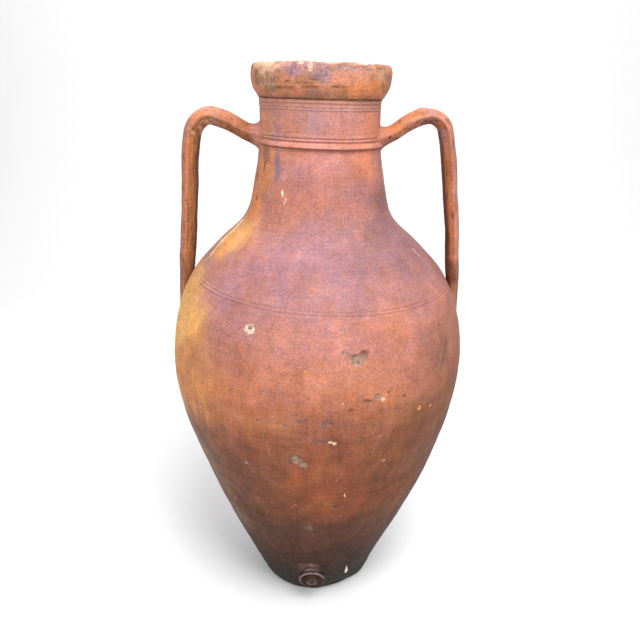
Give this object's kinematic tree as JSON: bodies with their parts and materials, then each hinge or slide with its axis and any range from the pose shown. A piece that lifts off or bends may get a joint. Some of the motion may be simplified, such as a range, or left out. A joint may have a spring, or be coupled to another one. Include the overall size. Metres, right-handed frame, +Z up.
{
  "type": "amphora",
  "caption": "Tall unglazed earthenware storage jar with a collared neck, high strap handles on either side, and a plugged drain spout near the flat foot.",
  "frame": {"origin": "centre of the flat underside of the foot", "axes": "+Z up along the jar's axis; the drain spout faces -Y; the handles stand on +X and -X"},
  "size_m": [0.5372, 0.5372, 1],
  "materials": {
    "terracotta_foot": "unglazed, damp-stained almost black, worn at the edge",
    "terracotta_lower": "unglazed, weathered dark brown",
    "terracotta_body": "unglazed, matt with a faint burnish, speckled and chipped",
    "terracotta_neck": "unglazed, matt, with pinkish and violet fire clouds",
    "terracotta_handle": "unglazed, hand-smoothed, with grey weathered patches",
    "bung_wood": "weathered grey end grain"
  },
  "bodies": {
    "jar": {"base_slab": "terracotta_foot", "lower_body": "terracotta_lower", "belly": "terracotta_body", "shoulder": "terracotta_body", "neck": "terracotta_neck", "neck_cordon": "terracotta_neck", "rim_collar": "terracotta_neck", "handle_right": "terracotta_handle", "handle_left": "terracotta_handle", "drain_spout": "terracotta_lower"},
    "bung": {"drain_bung": "bung_wood"}
  },
  "joints": [
    {"name": "bung_pull", "type": "slide", "parent": "jar", "child": "bung", "axis": [0, -0.9613, -0.2756], "range_m": [0, 0.06]}
  ]
}
